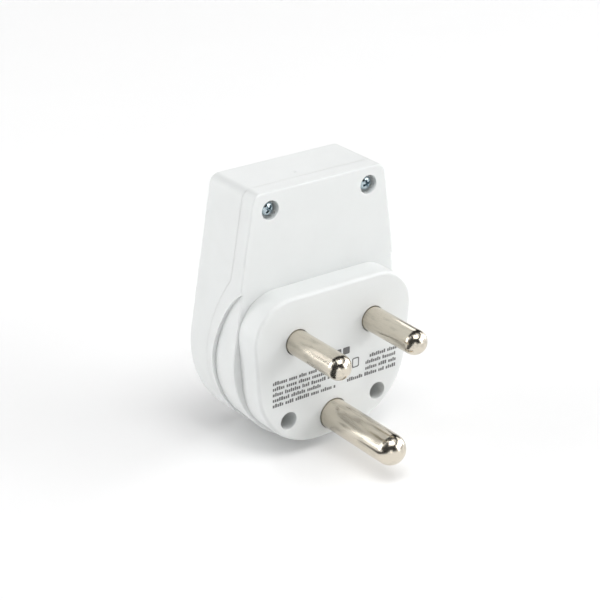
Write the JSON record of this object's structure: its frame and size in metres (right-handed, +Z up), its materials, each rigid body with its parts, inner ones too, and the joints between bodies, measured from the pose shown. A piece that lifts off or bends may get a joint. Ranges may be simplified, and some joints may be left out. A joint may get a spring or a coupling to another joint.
{
  "type": "plug-in travel adaptor",
  "caption": "Tombstone-shaped white plug-in adaptor: round-pin plug on a raised boss at the rear, shuttered outlet and USB charging ports at the front.",
  "frame": {"origin": "on the flat plug face, midway between the axes of the two line pins", "axes": "+Y along the pins into the wall socket, +Z up towards the flat top, outlet face towards -Y"},
  "size_m": [0.057, 0.0568, 0.0753],
  "materials": {
    "housing_plastic": "fine satin-gloss white moulding",
    "pin_metal": "bright nickel plating on brass",
    "zinc_steel": "clear zinc plating",
    "contact_brass": "stamped brass strip",
    "spring_steel": "drawn spring wire",
    "insulator_plastic": "matte natural moulding",
    "shutter_plastic": "matte white moulding",
    "board_laminate": "green solder mask",
    "port_steel": "nickel-plated stamped sheet",
    "port_tongue": "black moulding",
    "ferrite": "sintered ferrite",
    "winding_tape": "yellow polyester tape",
    "capacitor_sleeve": "shrink sleeve",
    "chip_epoxy": "moulded epoxy",
    "resistor_coat": "flameproof coating",
    "live_insulation": "brown wire insulation",
    "neutral_insulation": "blue wire insulation"
  },
  "bodies": {
    "housing": {"rear_shell": "housing_plastic", "front_shell": "housing_plastic", "live_pin": "pin_metal", "neutral_pin": "pin_metal", "earth_pin": "pin_metal", "live_pin_nut": "zinc_steel", "neutral_pin_nut": "zinc_steel", "earth_pin_nut": "zinc_steel", "live_contact": "contact_brass", "neutral_contact": "contact_brass", "earth_contact": "contact_brass", "contact_carrier": "insulator_plastic", "shutter_spring": "spring_steel", "circuit_board": "board_laminate", "usb_a_port": "port_steel", "usb_a_tongue": "port_tongue", "usb_c_port": "port_steel", "usb_c_tongue": "port_tongue", "transformer_core": "ferrite", "transformer_winding": "winding_tape", "input_capacitor": "capacitor_sleeve", "output_capacitor": "capacitor_sleeve", "fusible_resistor": "resistor_coat", "filter_choke": "ferrite", "bridge_rectifier": "chip_epoxy", "switching_controller": "chip_epoxy", "live_lead": "live_insulation", "neutral_lead": "neutral_insulation", "upper_left_screw": "zinc_steel", "upper_right_screw": "zinc_steel", "lower_left_screw": "zinc_steel", "lower_right_screw": "zinc_steel"},
    "shutter": {"outlet_shutter": "shutter_plastic"}
  },
  "joints": [
    {"name": "shutter_slide", "type": "slide", "parent": "housing", "child": "shutter", "axis": [1, 0, 0], "range_m": [0, 0.003], "stiffness_N_per_m": 120, "springref_m": -0.003, "deforming": ["shutter_spring"]}
  ]
}
